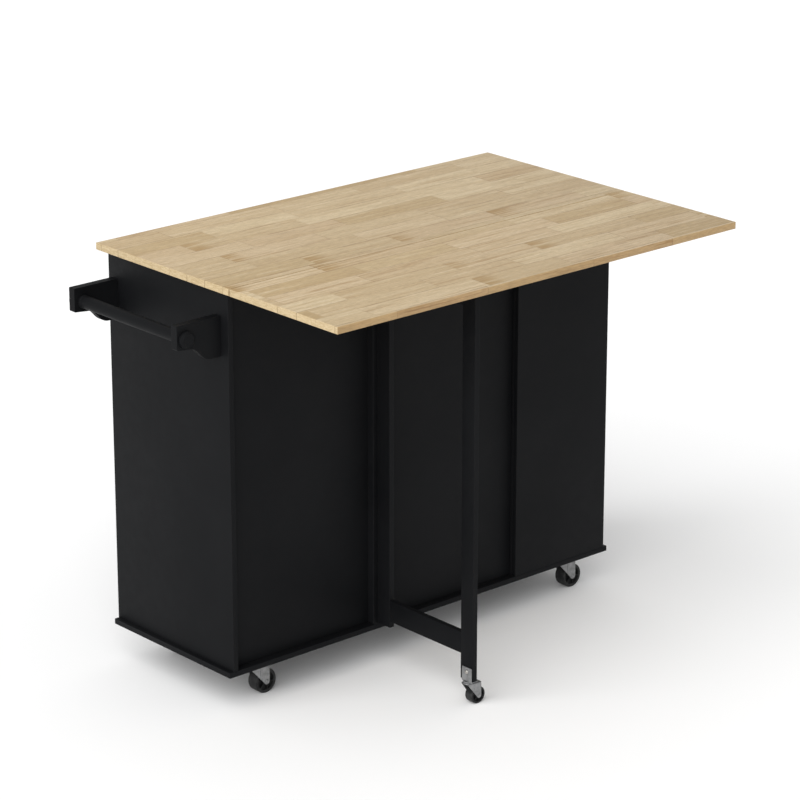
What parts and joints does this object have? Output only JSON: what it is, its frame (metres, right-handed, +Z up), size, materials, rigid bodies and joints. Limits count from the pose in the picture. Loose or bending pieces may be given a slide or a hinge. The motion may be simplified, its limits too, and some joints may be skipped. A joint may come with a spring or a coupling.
{
  "type": "kitchen island cart",
  "caption": "Black kitchen island cart on swivel casters with a wooden top, gate-leg drop leaf, towel rail, doors and drawers.",
  "frame": {"origin": "on the floor, at the middle of the cart's outline seen from above, with the leaf open", "axes": "+X along the top, away from the towel rail; +Y from the drop leaf towards the doors and drawers; +Z up"},
  "size_m": [1.1937, 0.766, 0.928],
  "materials": {
    "butcher_block": "finger-jointed rubberwood staves, satin clear lacquer",
    "black_paint": "black-painted fibreboard, low satin, slightly rolled texture",
    "drawer_board": "dark grey laminated board",
    "zinc": "bright zinc-plated pressed steel",
    "nickel": "brushed nickel",
    "wheel_rubber": "black moulded wheel, semi-matte"
  },
  "bodies": {
    "cabinet": {"worktop": "butcher_block", "base_board": "black_paint", "end_panel_left": "black_paint", "end_panel_right": "black_paint", "partition_left": "black_paint", "partition_right": "black_paint", "back_panel_left": "black_paint", "back_panel_middle": "black_paint", "back_panel_right": "black_paint", "front_top_rail": "black_paint", "rear_top_rail": "black_paint", "gate_hinge_batten": "black_paint", "shelf_left": "black_paint", "shelf_right": "black_paint", "leaf_hinge_1_fixed": "zinc", "leaf_hinge_2_fixed": "zinc", "gate_hinge_lower_fixed": "zinc", "gate_hinge_upper_fixed": "zinc", "towel_bracket_near": "black_paint", "towel_bracket_far": "black_paint", "towel_bar": "black_paint", "towel_cap_near": "black_paint", "towel_cap_far": "black_paint", "caster_near_left_plate": "zinc", "caster_near_right_plate": "zinc", "caster_far_left_plate": "zinc", "caster_far_right_plate": "zinc"},
    "leaf": {"drop_leaf": "butcher_block", "leaf_hinge_1_moving": "zinc", "leaf_hinge_2_moving": "zinc"},
    "gate_leg": {"gate_inner_post": "black_paint", "gate_outer_post": "black_paint", "gate_upper_rail": "black_paint", "gate_lower_rail": "black_paint", "gate_hinge_lower_moving": "zinc", "gate_hinge_upper_moving": "zinc", "leg_caster_plate": "zinc"},
    "door_left": {"door_left": "black_paint", "door_left_knob": "nickel"},
    "door_right": {"door_right": "black_paint", "door_right_knob": "nickel"},
    "drawer_1": {"drawer_1_front": "black_paint", "drawer_1_box": "drawer_board", "drawer_1_knob": "nickel"},
    "drawer_2": {"drawer_2_front": "black_paint", "drawer_2_box": "drawer_board", "drawer_2_knob": "nickel"},
    "drawer_3": {"drawer_3_front": "black_paint", "drawer_3_box": "drawer_board", "drawer_3_knob": "nickel"},
    "caster_near_left_swivel": {"caster_near_left_fork": "zinc"},
    "caster_near_left_roller": {"caster_near_left_wheel": "wheel_rubber"},
    "caster_near_right_swivel": {"caster_near_right_fork": "zinc"},
    "caster_near_right_roller": {"caster_near_right_wheel": "wheel_rubber"},
    "caster_far_left_swivel": {"caster_far_left_fork": "zinc"},
    "caster_far_left_roller": {"caster_far_left_wheel": "wheel_rubber"},
    "caster_far_right_swivel": {"caster_far_right_fork": "zinc"},
    "caster_far_right_roller": {"caster_far_right_wheel": "wheel_rubber"},
    "leg_caster_swivel": {"leg_caster_fork": "zinc"},
    "leg_caster_roller": {"leg_caster_wheel": "wheel_rubber"}
  },
  "joints": [
    {"name": "gate_swing", "type": "hinge", "parent": "cabinet", "child": "gate_leg", "pos_m": [-0.0784, -0.0313, 0.5], "axis": [0, 0, 1], "range_deg": [0, 90]},
    {"name": "leaf_lift", "type": "hinge", "parent": "cabinet", "child": "leaf", "pos_m": [0.0467, -0.054, 0.9097], "axis": [-1, 0, 0], "range_deg": [0, 5]},
    {"name": "door_left_swing", "type": "hinge", "parent": "cabinet", "child": "door_left", "pos_m": [-0.4723, 0.365, 0.484], "axis": [0, 0, 1], "range_deg": [0, 105]},
    {"name": "door_right_swing", "type": "hinge", "parent": "cabinet", "child": "door_right", "pos_m": [0.5657, 0.365, 0.484], "axis": [0, 0, -1], "range_deg": [0, 105]},
    {"name": "drawer_1_slide", "type": "slide", "parent": "cabinet", "child": "drawer_1", "axis": [0, 1, 0], "range_m": [0, 0.28]},
    {"name": "drawer_2_slide", "type": "slide", "parent": "cabinet", "child": "drawer_2", "axis": [0, 1, 0], "range_m": [0, 0.28]},
    {"name": "drawer_3_slide", "type": "slide", "parent": "cabinet", "child": "drawer_3", "axis": [0, 1, 0], "range_m": [0, 0.28]},
    {"name": "caster_near_left_turn", "type": "hinge", "parent": "cabinet", "child": "caster_near_left_swivel", "pos_m": [-0.3993, 0.03, 0.075], "axis": [0, 0, 1], "continuous": true},
    {"name": "caster_near_left_roll", "type": "hinge", "parent": "caster_near_left_swivel", "child": "caster_near_left_roller", "pos_m": [-0.3658, 0.03, 0.027], "axis": [0, 1, 0], "continuous": true},
    {"name": "caster_near_right_turn", "type": "hinge", "parent": "cabinet", "child": "caster_near_right_swivel", "pos_m": [0.4927, 0.03, 0.075], "axis": [0, 0, 1], "continuous": true},
    {"name": "caster_near_right_roll", "type": "hinge", "parent": "caster_near_right_swivel", "child": "caster_near_right_roller", "pos_m": [0.5262, 0.03, 0.027], "axis": [0, 1, 0], "continuous": true},
    {"name": "caster_far_left_turn", "type": "hinge", "parent": "cabinet", "child": "caster_far_left_swivel", "pos_m": [-0.3993, 0.307, 0.075], "axis": [0, 0, 1], "continuous": true},
    {"name": "caster_far_left_roll", "type": "hinge", "parent": "caster_far_left_swivel", "child": "caster_far_left_roller", "pos_m": [-0.3658, 0.307, 0.027], "axis": [0, 1, 0], "continuous": true},
    {"name": "caster_far_right_turn", "type": "hinge", "parent": "cabinet", "child": "caster_far_right_swivel", "pos_m": [0.4927, 0.307, 0.075], "axis": [0, 0, 1], "continuous": true},
    {"name": "caster_far_right_roll", "type": "hinge", "parent": "caster_far_right_swivel", "child": "caster_far_right_roller", "pos_m": [0.5262, 0.307, 0.027], "axis": [0, 1, 0], "continuous": true},
    {"name": "leg_caster_turn", "type": "hinge", "parent": "gate_leg", "child": "leg_caster_swivel", "pos_m": [-0.0877, -0.30695, 0.048], "axis": [0, 0, 1], "continuous": true},
    {"name": "leg_caster_roll", "type": "hinge", "parent": "leg_caster_swivel", "child": "leg_caster_roller", "pos_m": [-0.0697, -0.30695, 0.01875], "axis": [0, 1, 0], "continuous": true}
  ]
}
